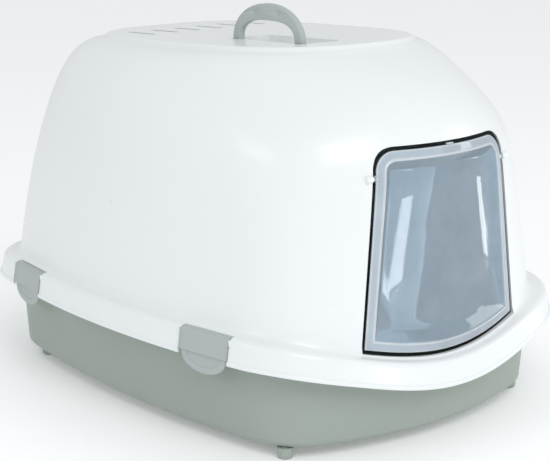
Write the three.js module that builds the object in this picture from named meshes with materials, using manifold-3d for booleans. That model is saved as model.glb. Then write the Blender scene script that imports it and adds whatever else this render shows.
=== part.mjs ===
// Hooded cat litter box: tray, hood, swing flap, folding handle, side clips and odour filter.
// Millimetres, +Z up. The door faces -Y, +X is to the right of someone looking along +Y.
// The origin is on the floor under the middle of the box.

import * as THREE from 'three';
import { mergeVertices } from 'three/addons/utils/BufferGeometryUtils.js';
import Module from 'manifold-3d';

const wasm = await Module();
wasm.setup();

// ---------------------------------------------------------------- driving dimensions

const HALF_LENGTH = 358;      // skirt, middle to front and middle to rear
const HALF_WIDTH = 278;       // skirt, at its widest
const SIDE_BOW = 39;          // how far the long sides bulge past the corners
const FRONT_BOW = 48;
const REAR_BOW = 12;
const CORNER_CUT = 72;        // where the corner rounding starts, measured from the corner

const WALL = 2.6;             // moulded wall thickness
const WALL_INSET = 22;        // foot of the hood's wall, from the skirt
const SIDE_LEAN = 34;         // how far each wall leans in below its shoulder
const FRONT_LEAN = 2;
const FRONT_CORNER_LEAN = 37;
const REAR_LEAN = 9;

const SKIRT_BOTTOM = 117;
const FLANGE_TOP = 150;       // top of the hood's flange, away from the entry
const ENTRY_DIP = 43;         // how far skirt and rim drop in the middle of the front
const DIP_REACH = 284;        // length of outline over which they drop, each way from the middle

const TOP_FOOT = 456;         // where the raised platform starts
const PLATFORM_RISE = 6;
const TOP_SLOPE = 0.04;       // the top falls gently towards the rear
const PLATFORM_HALF_WIDTH = 148;
const PLATFORM_FRONT = -200;
const PLATFORM_REAR = 258;
const PLATFORM_SIDE_BOW = 16;
const PLATFORM_FRONT_BOW = 40;
const PLATFORM_CORNER = 92;

const TRAY_FLOOR = 14;        // underside of the tray above the floor
const FOOT_RADIUS = 10;

const SILL_HALF_WIDTH = 131;  // door opening, at the sill
const SILL_ABOVE_FLANGE = 3;
const DOOR_TOP = 368;
const DOOR_TOP_HALF_WIDTH = 106;
const DOOR_CORNER = 28;
const DOOR_GAP = 5;           // between flap and opening
const HINGE_HEIGHT = 333;

const HANDLE_X = -66;         // handle's pivot line
const HANDLE_Y = -74;         // middle of the handle
const HANDLE_HALF_SPAN = 67;
const HANDLE_RISE = 47;       // above the platform
const HANDLE_THICKNESS = 9;
const HANDLE_PIVOT_DEPTH = 5.5;

const SLOT_COUNT = 6;
const SLOT_PITCH = 38;
const SLOT_LENGTH = 62;
const SLOT_WIDTH = 8;
const SLOT_Y = 160;

const CLIP_WIDTH = 78;
const CLIP_YS = { front: -184, rear: 203 };

// ---------------------------------------------------------------- colours

const PALETTE = {
  white: { color: 0xf1f4f4, roughness: 0.32, metalness: 0 },
  sage: { color: 0x9ba69e, roughness: 0.45, metalness: 0 },
  clear: { color: 0xe8eef2, roughness: 0.15, metalness: 0 },
  smoke: { color: 0x90a4b4, roughness: 0.08, metalness: 0, transparent: true, opacity: 0.5 },
  carbon: { color: 0x1d1f21, roughness: 0.95, metalness: 0 },
};

const group = new THREE.Group();

function addPart(name, geometry, finish, parent = group) {
  const mesh = new THREE.Mesh(geometry, new THREE.MeshStandardMaterial(PALETTE[finish]));
  mesh.name = name;
  parent.add(mesh);
  return mesh;
}

// ---------------------------------------------------------------- booleans

function toSolid(geometry) {
  const bare = geometry.clone();
  bare.deleteAttribute('normal');
  bare.deleteAttribute('uv');
  const merged = mergeVertices(bare, 1e-4);
  return new wasm.Manifold(new wasm.Mesh({
    numProp: 3,
    vertProperties: new Float32Array(merged.attributes.position.array),
    triVerts: new Uint32Array(merged.index.array),
  }));
}

function toGeometry(solid) {
  const mesh = solid.getMesh();
  const geometry = new THREE.BufferGeometry();
  geometry.setAttribute('position', new THREE.BufferAttribute(mesh.vertProperties, 3));
  geometry.setIndex(new THREE.BufferAttribute(mesh.triVerts, 1));
  return geometry;
}

function box(xLow, xHigh, yLow, yHigh, zLow, zHigh) {
  const geometry = new THREE.BoxGeometry(xHigh - xLow, yHigh - yLow, zHigh - zLow);
  return geometry.translate((xLow + xHigh) / 2, (yLow + yHigh) / 2, (zLow + zHigh) / 2);
}

// A cylinder from one point to another.
function rod(radius, from, to, sides = 14) {
  const start = new THREE.Vector3(...from);
  const run = new THREE.Vector3(...to).sub(start);
  const geometry = new THREE.CylinderGeometry(radius, radius, run.length(), sides);
  const turn = new THREE.Quaternion().setFromUnitVectors(
    new THREE.Vector3(0, 1, 0), run.clone().normalize());
  geometry.applyQuaternion(turn);
  return geometry.translate(...start.add(run.multiplyScalar(0.5)).toArray());
}

// An outline drawn in (u, v) and extruded along w, with (u, v, w) laid on the named axes.
function slab(shape, wLow, wHigh, axes) {
  const geometry = new THREE.ExtrudeGeometry(shape, { depth: wHigh - wLow, bevelEnabled: false });
  geometry.translate(0, 0, wLow);
  const direction = { x: [1, 0, 0], y: [0, 1, 0], z: [0, 0, 1] };
  const columns = [...axes].map(axis => new THREE.Vector3(...direction[axis]));
  const turn = new THREE.Matrix4().makeBasis(...columns);
  geometry.applyMatrix4(turn);
  return turn.determinant() < 0 ? flipped(geometry) : geometry;
}

function flipped(geometry) {
  const bare = geometry.clone();
  bare.deleteAttribute('normal');
  bare.deleteAttribute('uv');
  const merged = mergeVertices(bare, 1e-4);
  const index = merged.index.array;
  for (let i = 0; i < index.length; i += 3) {
    [index[i], index[i + 1]] = [index[i + 1], index[i]];
  }
  return merged;
}

// ---------------------------------------------------------------- plan outline

const REAR_STEPS = 3;
const CORNER_STEPS = 5;
const SIDE_STEPS = 6;
const FRONT_STEPS = 7;

function samples(count, from, to) {
  return Array.from({ length: count + 1 }, (_, i) => from + (to - from) * i / count);
}

// Half of a bowed, round-cornered rectangle, from the middle of the rear to the middle of the
// front, on the +X side.
function halfOutline({ halfWidth, front, rear, sideBow, frontBow, rearBow, cut }) {
  const cornerX = halfWidth - sideBow;
  const cornerRear = rear - rearBow;
  const cornerFront = front + frontBow;
  const length = cornerRear - cornerFront;
  const onRear = u => [cornerX * u, cornerRear + rearBow * (1 - u * u)];
  const onSide = u => [cornerX + 4 * sideBow * u * (1 - u), cornerRear - length * u];
  const onFront = u => [cornerX * u, cornerFront - frontBow * (1 - u * u)];
  const cutX = 1 - cut / cornerX;
  const cutY = cut / length;
  const points = samples(REAR_STEPS, 0, cutX).map(onRear);
  points.push(...corner(onRear, cutX, 1, onSide, cutY, 1));
  points.push(...samples(SIDE_STEPS, cutY, 1 - cutY).map(onSide));
  points.push(...corner(onSide, 1 - cutY, 1, onFront, cutX, -1));
  points.push(...samples(FRONT_STEPS, cutX, 0).map(onFront));
  return points;
}

function tangent(curve, u, sign) {
  const step = 1e-3;
  const [x0, y0] = curve(u - step);
  const [x1, y1] = curve(u + step);
  return new THREE.Vector2(x1 - x0, y1 - y0).normalize().multiplyScalar(sign);
}

function corner(curveA, uA, signA, curveB, uB, signB) {
  const start = new THREE.Vector2(...curveA(uA));
  const end = new THREE.Vector2(...curveB(uB));
  const reach = start.distanceTo(end) * 0.39;
  const bend = new THREE.CubicBezierCurve(
    start,
    tangent(curveA, uA, signA).multiplyScalar(reach).add(start),
    tangent(curveB, uB, signB).multiplyScalar(-reach).add(end),
    end);
  return bend.getPoints(CORNER_STEPS).slice(1, -1).map(p => [p.x, p.y]);
}

function fullOutline(sizes) {
  const half = halfOutline(sizes);
  const mirrored = half.slice(1, -1).reverse().map(([x, y]) => [-x, y]);
  return [...half, ...mirrored];
}

// How far the rim has dropped at each point of an outline.
function dips(outline) {
  const count = outline.length;
  const front = outline.findIndex(([x, y]) => y === Math.min(...outline.map(p => p[1])));
  const away = new Array(count).fill(0);
  for (const direction of [1, -1]) {
    let run = 0;
    for (let i = 1; i <= count / 2; i += 1) {
      const here = (front + direction * i + count) % count;
      const before = (front + direction * (i - 1) + count) % count;
      run += Math.hypot(outline[here][0] - outline[before][0], outline[here][1] - outline[before][1]);
      away[here] = away[here] ? Math.min(away[here], run) : run;
    }
  }
  return away.map(dipAt);
}

function dipAt(run) {
  return run >= DIP_REACH ? 0 : ENTRY_DIP * Math.cos(Math.PI / 2 * run / DIP_REACH) ** 2;
}

// The same drop as a function of the distance from the middle of the front, in front view.
function frontDip(x) {
  return dipAt(Math.abs(x) * 1.02);
}

// ---------------------------------------------------------------- lofting

// Rings of equal length joined into a skin, closed at both ends by a fan. Makes a closed body.
function loft(rings) {
  const count = rings[0].length;
  const positions = rings.flat(2);
  const index = [];
  for (let r = 0; r < rings.length - 1; r += 1) {
    for (let i = 0; i < count; i += 1) {
      const j = (i + 1) % count;
      const [a, b, c, d] = [r * count + i, r * count + j, (r + 1) * count + j, (r + 1) * count + i];
      index.push(a, b, c, a, c, d);
    }
  }
  for (const [ring, turn] of [[0, 1], [rings.length - 1, -1]]) {
    const centre = positions.length / 3;
    const middle = [0, 1, 2].map(k => rings[ring].reduce((sum, p) => sum + p[k], 0) / count);
    positions.push(...middle);
    for (let i = 0; i < count; i += 1) {
      const here = ring * count + i;
      const next = ring * count + (i + 1) % count;
      index.push(centre, ...(turn > 0 ? [next, here] : [here, next]));
    }
  }
  const geometry = new THREE.BufferGeometry();
  geometry.setAttribute('position', new THREE.Float32BufferAttribute(positions, 3));
  geometry.setIndex(index);
  return signedVolume(geometry) < 0 ? flipped(geometry) : geometry;
}

function signedVolume(geometry) {
  const position = geometry.attributes.position;
  const corner3 = [0, 1, 2].map(() => new THREE.Vector3());
  let sum = 0;
  for (let i = 0; i < geometry.index.count; i += 3) {
    corner3.forEach((point, k) => point.fromBufferAttribute(position, geometry.index.getX(i + k)));
    sum += corner3[0].dot(corner3[1].clone().cross(corner3[2])) / 6;
  }
  return sum;
}

// ---------------------------------------------------------------- skirt and flange

function skirtSizes(inset) {
  return {
    halfWidth: HALF_WIDTH - inset, front: -HALF_LENGTH + inset, rear: HALF_LENGTH - inset,
    sideBow: SIDE_BOW, frontBow: FRONT_BOW, rearBow: REAR_BOW, cut: CORNER_CUT,
  };
}

// A ring that follows the dipped rim, given its inset from the skirt and its height there.
function rimRing(inset, height) {
  const outline = fullOutline(skirtSizes(inset));
  const drop = dips(outline);
  return outline.map(([x, y], i) => [x, y, height - drop[i]]);
}

// ---------------------------------------------------------------- hood wall

const SHOULDER_POWER = 2.6;    // a circle would be 2; more is squarer

// Share of the shoulder's rounding reached at a height f, from 0 at the flange to 1 at the top.
function shoulder(f) {
  return 1 - (1 - f ** SHOULDER_POWER) ** (1 / SHOULDER_POWER);
}

function smooth(f, from, to) {
  const t = Math.min(Math.max((f - from) / (to - from), 0), 1);
  return t * t * (3 - 2 * t);
}

function topHeight(y) {
  return TOP_FOOT - TOP_SLOPE * (y - (PLATFORM_FRONT + PLATFORM_REAR) / 2);
}

// A curve that leaves 0 at a height share and grows to 1 at the top.
function rampFrom(start, f, power) {
  return (Math.max(f - start, 0) / (1 - start)) ** power;
}

// How late each part of the wall bends over towards the platform.
const BEND = { side: 1.2, sideCorner: 0.82, front: 3.15, frontCorner: 1.2, rear: 0.78 };
const FRONT_BEND_FROM = 0.5;         // share of the wall's height at which the front bends over
const FRONT_CORNER_BEND_FROM = 0.6;

// Plan sizes of the hood's wall at height share f, inset by a wall thickness for the inside.
// Each wall leans in a little, then rounds over to the platform; the corners lead the middles.
function wallSizes(f, thickness = 0) {
  const round = shoulder(f);
  const blend = (foot, lean, top, share) => foot + lean * f + (top - foot - lean) * share;
  const side = blend(WALL_INSET, SIDE_LEAN, HALF_WIDTH - PLATFORM_HALF_WIDTH, round ** BEND.side);
  const sideCorner = blend(WALL_INSET + SIDE_BOW, SIDE_LEAN,
    HALF_WIDTH - PLATFORM_HALF_WIDTH + PLATFORM_SIDE_BOW, round ** BEND.sideCorner);
  const front = blend(WALL_INSET, FRONT_LEAN, HALF_LENGTH + PLATFORM_FRONT,
    rampFrom(FRONT_BEND_FROM, f, BEND.front));
  const frontCorner = blend(WALL_INSET + FRONT_BOW, FRONT_CORNER_LEAN,
    HALF_LENGTH + PLATFORM_FRONT + PLATFORM_FRONT_BOW, smooth(f, FRONT_CORNER_BEND_FROM, 1) ** BEND.frontCorner);
  const rear = blend(WALL_INSET, REAR_LEAN, HALF_LENGTH - PLATFORM_REAR, round ** BEND.rear);
  return {
    halfWidth: HALF_WIDTH - side - thickness,
    front: -HALF_LENGTH + front + thickness,
    rear: HALF_LENGTH - rear - thickness,
    sideBow: sideCorner - side,
    frontBow: frontCorner - front,
    rearBow: REAR_BOW,
    cut: CORNER_CUT + (PLATFORM_CORNER - CORNER_CUT) * f,
  };
}

function wallRing(f, thickness = 0) {
  const foot = fullOutline(skirtSizes(WALL_INSET));
  const drop = dips(foot);
  return fullOutline(wallSizes(f, thickness)).map(([x, y], i) => {
    const low = FLANGE_TOP - drop[i];
    return [x, y, low + f * (topHeight(y) - low) - thickness * smooth(f, 0.75, 1)];
  });
}

// Where the outside of the front wall is, at a place in the front view.
function frontWallY(x, z) {
  const low = FLANGE_TOP - frontDip(x);
  const f = Math.min(Math.max((z - low) / (topHeight(-HALF_LENGTH) - low), 0), 0.98);
  const { halfWidth, sideBow, front, frontBow } = wallSizes(f);
  const u = x / (halfWidth - sideBow);
  return front + frontBow * u * u;
}

const WALL_LEVELS = [0.06, 0.35, 0.58, 0.72, 0.82, 0.89, 0.94, 0.98];

function platformRing(inset, rise) {
  return fullOutline(wallSizes(1, inset)).map(([x, y]) => [x, y, topHeight(y) + rise]);
}

function hoodShell() {
  const outside = [
    platformRing(4, PLATFORM_RISE),
    platformRing(0, PLATFORM_RISE - 2.5),
    platformRing(-1, 0),
    ...[...WALL_LEVELS].reverse().map(f => wallRing(f)),
    rimRing(19, FLANGE_TOP + 1.5),
    rimRing(12, FLANGE_TOP),
    rimRing(7, FLANGE_TOP - 1.5),
    rimRing(4.5, FLANGE_TOP - 6),
    rimRing(0, SKIRT_BOTTOM),
  ];
  const inside = [
    rimRing(WALL, SKIRT_BOTTOM),
    rimRing(4.5 + WALL, FLANGE_TOP - 6.5),
    rimRing(9.5, FLANGE_TOP - WALL - 0.2),
    rimRing(WALL_INSET + WALL, FLANGE_TOP - WALL),
    ...WALL_LEVELS.map(f => wallRing(f, WALL)),
    platformRing(WALL, -WALL),
    platformRing(WALL + 1.5, PLATFORM_RISE - WALL),
  ];
  return loft([...outside, ...inside]);
}

// ---------------------------------------------------------------- door

function doorHalfWidth(z) {
  const low = FLANGE_TOP + SILL_ABOVE_FLANGE - frontDip(SILL_HALF_WIDTH);
  return SILL_HALF_WIDTH + (DOOR_TOP_HALF_WIDTH - SILL_HALF_WIDTH) * (z - low) / (DOOR_TOP - low);
}

function sillHeight(x) {
  return FLANGE_TOP + SILL_ABOVE_FLANGE - frontDip(x);
}

// The opening in front view, shrunk by an inset: sill along the rim, round upper corners.
function doorShape(inset) {
  const half = SILL_HALF_WIDTH - inset;
  const top = DOOR_TOP - inset;
  const radius = DOOR_CORNER - inset;
  const topHalf = doorHalfWidth(top) - inset;
  const shape = new THREE.Shape();
  samples(10, -half, half).forEach((x, i) => {
    shape[i ? 'lineTo' : 'moveTo'](x, sillHeight(x) + inset);
  });
  shape.lineTo(doorHalfWidth(top - radius) - inset, top - radius);
  shape.quadraticCurveTo(topHalf, top, topHalf - radius, top);
  shape.lineTo(-topHalf + radius, top);
  shape.quadraticCurveTo(-topHalf, top, -doorHalfWidth(top - radius) + inset, top - radius);
  return shape;
}

function shapeSlab(shape, steps, wLow, wHigh, axes) {
  const flat = new THREE.Shape(shape.getPoints(steps));
  return slab(flat, wLow, wHigh, axes);
}

const HINGE_X = doorHalfWidth(HINGE_HEIGHT);
const HINGE_Y = frontWallY(HINGE_X, HINGE_HEIGHT) + WALL / 2;
const KNUCKLE_RADIUS = 4.2;
const PIN_RADIUS = 2.4;
const KNUCKLE_LENGTH = 9;

function doorCut() {
  return shapeSlab(doorShape(0), 5, -HALF_LENGTH - 20, -190, 'xzy');
}

// ---------------------------------------------------------------- clip places

// Middle of a clip on the skirt's outer face, and the direction in which it faces.
function clipPlace(side, y) {
  const sizes = skirtSizes(0);
  const low = sizes.front + sizes.frontBow;
  const high = sizes.rear - sizes.rearBow;
  const u = (high - y) / (high - low);
  const x = sizes.halfWidth - sizes.sideBow + 4 * sizes.sideBow * u * (1 - u);
  const slope = -4 * sizes.sideBow * (1 - 2 * u) / (high - low);
  return { x: side * x, y, turn: side > 0 ? -Math.atan(slope) : Math.PI + Math.atan(slope) };
}

const CLIP_PIVOT_INSET = 10.5;
const CLIP_PIVOT_Z = FLANGE_TOP - 4.4;
const CLIP_BARREL = 4.2;
const CLIP_PIN_RADIUS = 1.6;
const CHEEK = 3;

function clipGroup(side, y) {
  const place = clipPlace(side, y);
  const holder = new THREE.Group();
  holder.position.set(place.x, place.y, 0);
  holder.rotation.z = place.turn;
  return holder;
}

// Geometry drawn at a clip, with +X outwards and Y along the skirt, moved to its place.
function atClip(geometry, side, y) {
  const holder = clipGroup(side, y);
  holder.updateMatrix();
  return geometry.applyMatrix4(holder.matrix);
}

const CLIPS = [];
for (const [end, y] of Object.entries(CLIP_YS)) {
  for (const [label, side] of [['left', -1], ['right', 1]]) {
    CLIPS.push({ name: `${end}_${label}`, side, y });
  }
}

// ---------------------------------------------------------------- hood

const PLATFORM_MIDDLE = (PLATFORM_FRONT + PLATFORM_REAR) / 2;

// Things on the platform are drawn level, with the platform's top at height 0, then laid on it.
function platformGroup() {
  const holder = new THREE.Group();
  holder.position.set(0, PLATFORM_MIDDLE, TOP_FOOT + PLATFORM_RISE);
  holder.rotation.x = -Math.atan(TOP_SLOPE);
  return holder;
}

function onPlatform(geometry) {
  const holder = platformGroup();
  holder.updateMatrix();
  return geometry.applyMatrix4(holder.matrix);
}

const POCKET = {
  xLow: HANDLE_X - 6.5,
  xHigh: HANDLE_X + HANDLE_RISE + HANDLE_PIVOT_DEPTH + 5,
  yLow: HANDLE_Y - PLATFORM_MIDDLE - HANDLE_HALF_SPAN - 2.5,
  yHigh: HANDLE_Y - PLATFORM_MIDDLE + HANDLE_HALF_SPAN + 2.5,
  depth: HANDLE_PIVOT_DEPTH + HANDLE_THICKNESS / 2 + 1.5,
};

function pocketBox(grow, top) {
  return box(POCKET.xLow - grow, POCKET.xHigh + grow, POCKET.yLow - grow, POCKET.yHigh + grow,
    -POCKET.depth - grow, top);
}

const LEDGE = 4;              // strip between the legs that the pocket doesn't reach
const LEG_WIDTH = 14;
const GRIP = 21;              // height of the grip at the top of the arch

function pocketLedge() {
  const inner = HANDLE_HALF_SPAN - LEG_WIDTH - 3;
  const middle = HANDLE_Y - PLATFORM_MIDDLE;
  return box(POCKET.xLow - 1, POCKET.xLow + LEDGE, middle - inner, middle + inner,
    -POCKET.depth - 1, -0.2);
}

function handleHinge(radius, from, to) {
  const middle = HANDLE_Y - PLATFORM_MIDDLE;
  return [-1, 1].map(end => rod(radius,
    [HANDLE_X, middle + end * (HANDLE_HALF_SPAN + from), -HANDLE_PIVOT_DEPTH],
    [HANDLE_X, middle + end * (HANDLE_HALF_SPAN + to), -HANDLE_PIVOT_DEPTH], 16));
}

function slotShape(length, width) {
  const shape = new THREE.Shape();
  const straight = (length - width) / 2;
  shape.absarc(0, straight, width / 2, 0, Math.PI);
  shape.absarc(0, -straight, width / 2, Math.PI, 2 * Math.PI);
  return shape;
}

function ventSlots() {
  return samples(SLOT_COUNT - 1, -0.5, 0.5).map(share => {
    const x = share * SLOT_PITCH * (SLOT_COUNT - 1);
    const cut = shapeSlab(slotShape(SLOT_LENGTH, SLOT_WIDTH), 4, -20, 10, 'xyz');
    return onPlatform(cut.translate(x, SLOT_Y - PLATFORM_MIDDLE, 0));
  });
}

const HANDLE_PIN_RADIUS = 2.6;

function makeHood() {
  let hood = toSolid(hoodShell());
  const join = geometry => { hood = hood.add(toSolid(geometry)); };
  const cut = geometry => { hood = hood.subtract(toSolid(geometry)); };

  // handle pocket with the bosses that hold the hinge pins
  join(onPlatform(pocketBox(WALL, -1.5)));
  handleHinge(5, 3, 11).forEach(geometry => join(onPlatform(geometry)));
  const pocket = toSolid(pocketBox(0, 5)).subtract(toSolid(pocketLedge()));
  cut(onPlatform(toGeometry(pocket)));
  handleHinge(HANDLE_PIN_RADIUS + 0.35, 1, 9.5).forEach(geometry => cut(onPlatform(geometry)));
  ventSlots().forEach(cut);

  // door opening with a socket for each hinge pin
  cut(doorCut());
  for (const side of [-1, 1]) {
    const from = side * (HINGE_X - 0.4);
    const to = side * (HINGE_X + KNUCKLE_LENGTH);
    join(rod(KNUCKLE_RADIUS, [from, HINGE_Y, HINGE_HEIGHT], [to, HINGE_Y, HINGE_HEIGHT]));
    cut(rod(PIN_RADIUS + 0.35, [side * (HINGE_X - 3), HINGE_Y, HINGE_HEIGHT],
      [side * (HINGE_X + KNUCKLE_LENGTH - 1.5), HINGE_Y, HINGE_HEIGHT]));
  }

  // a notch in the skirt for each clip, with a cheek at each end to hold its pin
  const half = CLIP_WIDTH / 2 + 1;
  for (const { side, y } of CLIPS) {
    cut(atClip(box(-CLIP_PIVOT_INSET - CLIP_BARREL - 0.7, 20, -half, half,
      SKIRT_BOTTOM - 10, FLANGE_TOP + 4), side, y));
    for (const end of [-1, 1]) {
      const [near, far] = [end * half, end * (half + CHEEK)];
      join(atClip(box(-15.5, -4.5, Math.min(near, far), Math.max(near, far),
        CLIP_PIVOT_Z - 5, FLANGE_TOP - 2.2), side, y));
    }
    const reach = half + CHEEK - 0.8;
    cut(atClip(rod(CLIP_PIN_RADIUS + 0.35, [-CLIP_PIVOT_INSET, -reach, CLIP_PIVOT_Z],
      [-CLIP_PIVOT_INSET, reach, CLIP_PIVOT_Z], 14), side, y));
  }
  return toGeometry(hood);
}

addPart('hood', makeHood(), 'white');

// ---------------------------------------------------------------- tray

function traySizes(share) {
  const top = skirtSizes(WALL_INSET);
  const bottom = {
    halfWidth: 241, front: -322, rear: 316, sideBow: 29, frontBow: 48, rearBow: 10, cut: 46,
  };
  const blend = {};
  for (const key of Object.keys(top)) {
    blend[key] = bottom[key] + (top[key] - bottom[key]) * share;
  }
  return blend;
}

const RIM_TOP = FLANGE_TOP - WALL - 0.4;

// A ring on the tray's wall at height share t, with a softly rounded foot.
function trayRing(t, thickness = 0) {
  const rim = fullOutline(skirtSizes(WALL_INSET));
  const drop = dips(rim);
  const round = 7 * (1 - Math.min(t / 0.08, 1)) ** 2;
  const sizes = traySizes(t);
  sizes.halfWidth -= thickness + round;
  sizes.front += thickness + round;
  sizes.rear -= thickness + round;
  return fullOutline(sizes).map(([x, y], i) => {
    const top = RIM_TOP - WALL - drop[i];
    return [x, y, TRAY_FLOOR + thickness * (1 - t) + t * (top - TRAY_FLOOR)];
  });
}

const LIP_INSET = 10.5;

function trayShell() {
  const levels = [0, 0.03, 0.08, 0.4, 0.7, 1];
  const lip = [
    rimRing(LIP_INSET, RIM_TOP - WALL),
    rimRing(LIP_INSET, RIM_TOP),
    rimRing(WALL_INSET + WALL, RIM_TOP),
  ];
  return loft([
    ...levels.map(t => trayRing(t)),
    ...lip,
    ...[...levels].reverse().map(t => trayRing(t, WALL)),
  ]);
}

const FEET = [];
for (const [end, x, y] of [['front', 196, -258], ['rear', 196, 258]]) {
  for (const [label, side] of [['left', -1], ['right', 1]]) {
    FEET.push({ name: `foot_${end}_${label}`, x: side * x, y });
  }
}

function makeTray() {
  let tray = toSolid(trayShell());
  // the rim's lip steps back behind each clip, leaving a ledge for its hook
  const half = CLIP_WIDTH / 2 + 1 + CHEEK + 1.5;
  for (const { side, y } of CLIPS) {
    tray = tray.subtract(toSolid(atClip(
      box(-17.5, 10, -half, half, RIM_TOP - 20, RIM_TOP + 5), side, y)));
  }
  // a round socket in the floor for each foot's peg
  for (const { x, y } of FEET) {
    tray = tray.subtract(toSolid(rod(4.3, [x, y, TRAY_FLOOR - 5], [x, y, TRAY_FLOOR + 1.6], 14)));
  }
  return toGeometry(tray);
}

addPart('tray', makeTray(), 'sage');

// ---------------------------------------------------------------- feet

function makeFoot() {
  const top = TRAY_FLOOR - 0.3;
  const profile = [
    [0, 0], [FOOT_RADIUS - 1.5, 0], [FOOT_RADIUS - 0.4, 1.2], [FOOT_RADIUS, 3],
    [FOOT_RADIUS, top], [4, top], [4, top + 1.6], [0, top + 1.6],
  ];
  const geometry = new THREE.LatheGeometry(profile.map(p => new THREE.Vector2(...p)), 14);
  return geometry.rotateX(Math.PI / 2);
}

for (const { name, x, y } of FEET) {
  addPart(name, makeFoot(), 'sage').position.set(x, y, 0);
}

// ---------------------------------------------------------------- flap

const FLAP_THICKNESS = 2;
const FLAP_COLUMNS = 10;
const FLAP_ROWS = 8;

// A point of the flap: s runs from -1 to 1 across, t from 0 at the sill to 1 at the top.
function flapPoint(s, t, depth) {
  const top = DOOR_TOP - DOOR_GAP;
  const radius = DOOR_CORNER - DOOR_GAP;
  const low = sillHeight(SILL_HALF_WIDTH) + DOOR_GAP;
  const level = low + t * (top - low);
  const over = Math.max(level - (top - radius), 0) / radius;
  const half = doorHalfWidth(level) - DOOR_GAP - radius * (1 - Math.sqrt(1 - Math.min(over, 1) ** 2));
  const x = s * half;
  const z = sillHeight(x) + DOOR_GAP + t * (top - sillHeight(x) - DOOR_GAP);
  return [x, frontWallY(x, z) + depth, z];
}

// The flap follows the front wall; t is packed towards the rounded upper corners.
function flapPlate() {
  const rows = samples(FLAP_ROWS, 0, 1).map(t => t < 0.75 ? t : 0.75 + 0.25 * Math.sin((t - 0.75) * 2 * Math.PI));
  const ring = depth => {
    const across = samples(FLAP_COLUMNS, -1, 1);
    return rows.map(t => across.map(s => flapPoint(s, t, depth)));
  };
  const [near, far] = [ring(0.4), ring(0.4 + FLAP_THICKNESS)];
  const width = FLAP_COLUMNS + 1;
  const positions = [...near.flat(2), ...far.flat(2)];
  const back = width * (FLAP_ROWS + 1);
  const index = [];
  const quad = (a, b, c, d) => index.push(a, b, c, a, c, d);
  for (let r = 0; r < FLAP_ROWS; r += 1) {
    for (let c = 0; c < FLAP_COLUMNS; c += 1) {
      const a = r * width + c;
      quad(a, a + 1, a + width + 1, a + width);
      quad(back + a, back + a + width, back + a + width + 1, back + a + 1);
    }
    const [left, right] = [r * width, r * width + FLAP_COLUMNS];
    quad(back + left, left, left + width, back + left + width);
    quad(right, back + right, back + right + width, right + width);
  }
  for (let c = 0; c < FLAP_COLUMNS; c += 1) {
    const top = FLAP_ROWS * width + c;
    quad(back + c, back + c + 1, c + 1, c);
    quad(top, top + 1, back + top + 1, back + top);
  }
  const geometry = new THREE.BufferGeometry();
  geometry.setAttribute('position', new THREE.Float32BufferAttribute(positions, 3));
  geometry.setIndex(index);
  return signedVolume(geometry) < 0 ? flipped(geometry) : geometry;
}

const FLAP_EDGE = HINGE_X - DOOR_GAP;

function makeFlap() {
  let flap = toSolid(flapPlate());
  for (const side of [-1, 1]) {
    const [near, far] = [side * (FLAP_EDGE - 12), side * (FLAP_EDGE + 1.5)];
    flap = flap.add(toSolid(rod(KNUCKLE_RADIUS - 0.4, [near, HINGE_Y, HINGE_HEIGHT],
      [far, HINGE_Y, HINGE_HEIGHT])));
    flap = flap.subtract(toSolid(rod(PIN_RADIUS + 0.3, [side * (FLAP_EDGE - 10), HINGE_Y, HINGE_HEIGHT],
      [side * (FLAP_EDGE + 5), HINGE_Y, HINGE_HEIGHT])));
  }
  return toGeometry(flap);
}

addPart('flap', makeFlap(), 'smoke');

for (const [label, side] of [['left', -1], ['right', 1]]) {
  addPart(`flap_pin_${label}`, rod(PIN_RADIUS, [side * (FLAP_EDGE - 9.6), HINGE_Y, HINGE_HEIGHT],
    [side * (HINGE_X + KNUCKLE_LENGTH - 2), HINGE_Y, HINGE_HEIGHT], 16), 'clear');
}

function makeFlapNub() {
  const z = DOOR_TOP - DOOR_GAP;
  const y = frontWallY(0, z);
  return box(-5.5, 5.5, y - 0.2, y + 2.6, z + 0.3, z + 2.6);
}

addPart('flap_nub', makeFlapNub(), 'clear');

// ---------------------------------------------------------------- handle

function ellipsePoints(a, b, power, count, low) {
  return samples(count, 0, Math.PI).map(angle => {
    const c = Math.cos(angle);
    const s = Math.sin(angle);
    return [a * Math.sign(c) * Math.abs(c) ** (2 / power), low + b * Math.abs(s) ** (2 / power)];
  });
}

// Side view of the bail: an arch whose middle is thickened into a grip.
function handleShape() {
  const foot = HANDLE_THICKNESS / 2;
  const pivot = -HANDLE_PIVOT_DEPTH;
  const outer = ellipsePoints(HANDLE_HALF_SPAN, HANDLE_RISE, 2.05, 18, 0);
  const inner = ellipsePoints(HANDLE_HALF_SPAN - LEG_WIDTH, HANDLE_RISE - GRIP, 2.7, 14, 0).reverse();
  const points = [
    [HANDLE_HALF_SPAN, pivot], ...outer, [-HANDLE_HALF_SPAN, pivot],
    [-HANDLE_HALF_SPAN + 1.5, pivot - foot + 0.8], [-HANDLE_HALF_SPAN + LEG_WIDTH, pivot - foot + 0.8],
    ...inner,
    [HANDLE_HALF_SPAN - LEG_WIDTH, pivot - foot + 0.8], [HANDLE_HALF_SPAN - 1.5, pivot - foot + 0.8],
  ];
  return new THREE.Shape(points.map(p => new THREE.Vector2(...p)));
}

function makeHandle() {
  const middle = HANDLE_Y - PLATFORM_MIDDLE;
  const half = HANDLE_THICKNESS / 2;
  let handle = toSolid(slab(handleShape(), -half, half, 'yzx').translate(HANDLE_X, middle, 0));
  for (const geometry of handleHinge(HANDLE_PIN_RADIUS + 0.3, 4, -8)) {
    handle = handle.subtract(toSolid(geometry));
  }
  return toGeometry(handle);
}

const onTop = platformGroup();
group.add(onTop);
addPart('handle', makeHandle(), 'sage', onTop);
handleHinge(HANDLE_PIN_RADIUS, 9, -7.5).forEach((geometry, i) => {
  addPart(`handle_pin_${i ? 'rear' : 'front'}`, geometry, 'white', onTop);
});

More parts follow.
